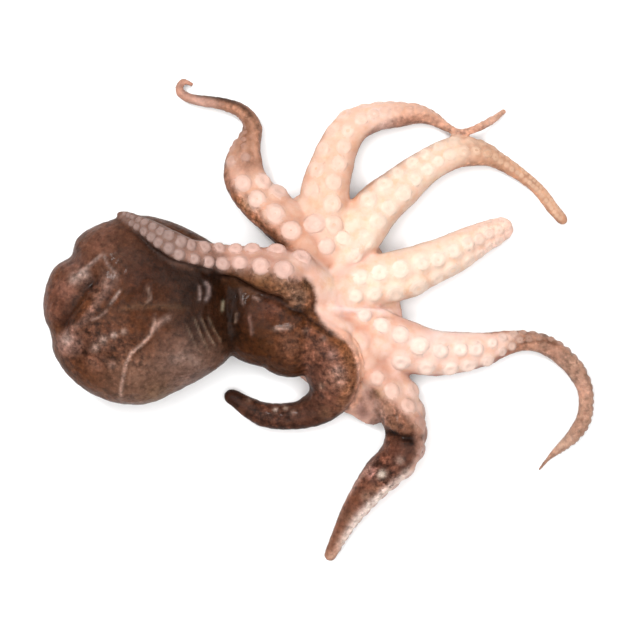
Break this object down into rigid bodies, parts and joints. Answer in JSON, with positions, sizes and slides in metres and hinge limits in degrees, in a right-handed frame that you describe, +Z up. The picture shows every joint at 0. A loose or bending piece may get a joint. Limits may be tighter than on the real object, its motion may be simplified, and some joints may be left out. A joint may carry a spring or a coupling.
{
  "type": "whole raw baby octopus",
  "caption": "Whole raw baby octopus lying flat: round dark mantle, thick head, arms fanned out with their suckers up.",
  "frame": {"origin": "centre of the bounding box at the table's level, under the root of the arms", "axes": "+X from the mantle towards the arms, +Y to the left of that as seen from above, +Z up"},
  "size_m": [0.1213, 0.1075, 0.0186],
  "materials": {
    "skin": "wet satin skin, dark brown above and pale pink on the sucker side"
  },
  "bodies": {
    "root": {"octopus": "skin"}
  },
  "joints": []
}
